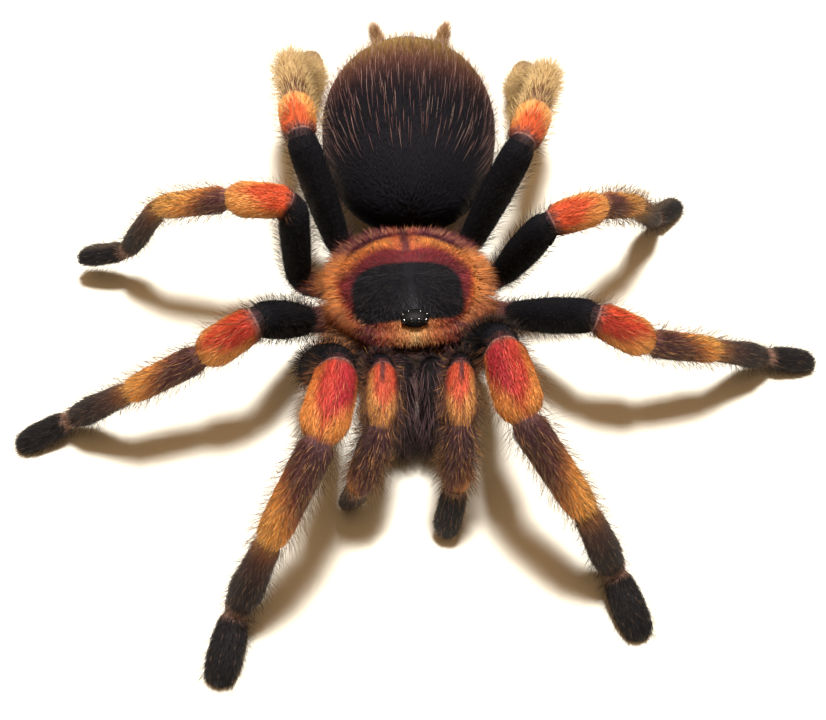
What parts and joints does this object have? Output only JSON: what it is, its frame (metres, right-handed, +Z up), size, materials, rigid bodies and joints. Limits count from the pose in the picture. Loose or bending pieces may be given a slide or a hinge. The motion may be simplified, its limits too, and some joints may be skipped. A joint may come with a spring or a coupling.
{
  "type": "tarantula model",
  "caption": "Life-size still model of a hairy red-kneed tarantula, standing with its legs spread, for display on a flat surface.",
  "frame": {"origin": "on the floor, in the middle of the ground that the model covers", "axes": "+X to the spider's own left, +Y towards its abdomen, so that it faces -Y, and +Z up"},
  "size_m": [0.113, 0.11, 0.027],
  "materials": {
    "black_velvet": "dense short black hair, matt",
    "knee_orange": "orange-red to golden hair, satin",
    "shin_brown": "dark brown hair with a golden end, satin",
    "foot_brown": "dark brown hair, matt",
    "carapace_fur": "short hair, black in the middle and golden at the edge",
    "under_brown": "dark brown cuticle with short hair, satin",
    "abdomen_fur": "black hair with long reddish strands, matt",
    "jaw_fur": "dark hair with long greyish strands",
    "fang_black": "smooth black cuticle, glossy",
    "eye_black": "clear smooth lens over black, very glossy",
    "spinneret_tan": "tan hair, satin"
  },
  "bodies": {
    "root": {"abdomen": "abdomen_fur", "carapace": "carapace_fur", "eye_front_inner_left": "eye_black", "eye_front_inner_right": "eye_black", "eye_front_outer_left": "eye_black", "eye_front_outer_right": "eye_black", "eye_mound": "under_brown", "eye_rear_inner_left": "eye_black", "eye_rear_inner_right": "eye_black", "eye_rear_outer_left": "eye_black", "eye_rear_outer_right": "eye_black", "fang_left": "fang_black", "fang_right": "fang_black", "jaw_left": "jaw_fur", "jaw_right": "jaw_fur", "leg1_left_femur": "black_velvet", "leg1_left_foot": "foot_brown", "leg1_left_patella": "knee_orange", "leg1_left_tibia": "shin_brown", "leg1_right_femur": "black_velvet", "leg1_right_foot": "foot_brown", "leg1_right_patella": "knee_orange", "leg1_right_tibia": "shin_brown", "leg2_left_femur": "black_velvet", "leg2_left_foot": "foot_brown", "leg2_left_patella": "knee_orange", "leg2_left_tibia": "shin_brown", "leg2_right_femur": "black_velvet", "leg2_right_foot": "foot_brown", "leg2_right_patella": "knee_orange", "leg2_right_tibia": "shin_brown", "leg3_left_femur": "black_velvet", "leg3_left_foot": "foot_brown", "leg3_left_patella": "knee_orange", "leg3_left_tibia": "shin_brown", "leg3_right_femur": "black_velvet", "leg3_right_foot": "foot_brown", "leg3_right_patella": "knee_orange", "leg3_right_tibia": "shin_brown", "leg4_left_femur": "black_velvet", "leg4_left_foot": "foot_brown", "leg4_left_patella": "knee_orange", "leg4_left_tibia": "shin_brown", "leg4_right_femur": "black_velvet", "leg4_right_foot": "foot_brown", "leg4_right_patella": "knee_orange", "leg4_right_tibia": "shin_brown", "palp_left_femur": "black_velvet", "palp_left_patella": "knee_orange", "palp_left_tarsus": "foot_brown", "palp_left_tibia": "shin_brown", "palp_right_femur": "black_velvet", "palp_right_patella": "knee_orange", "palp_right_tarsus": "foot_brown", "palp_right_tibia": "shin_brown", "spinneret_left": "spinneret_tan", "spinneret_right": "spinneret_tan", "sternum_hips": "under_brown", "waist": "under_brown"}
  },
  "joints": []
}
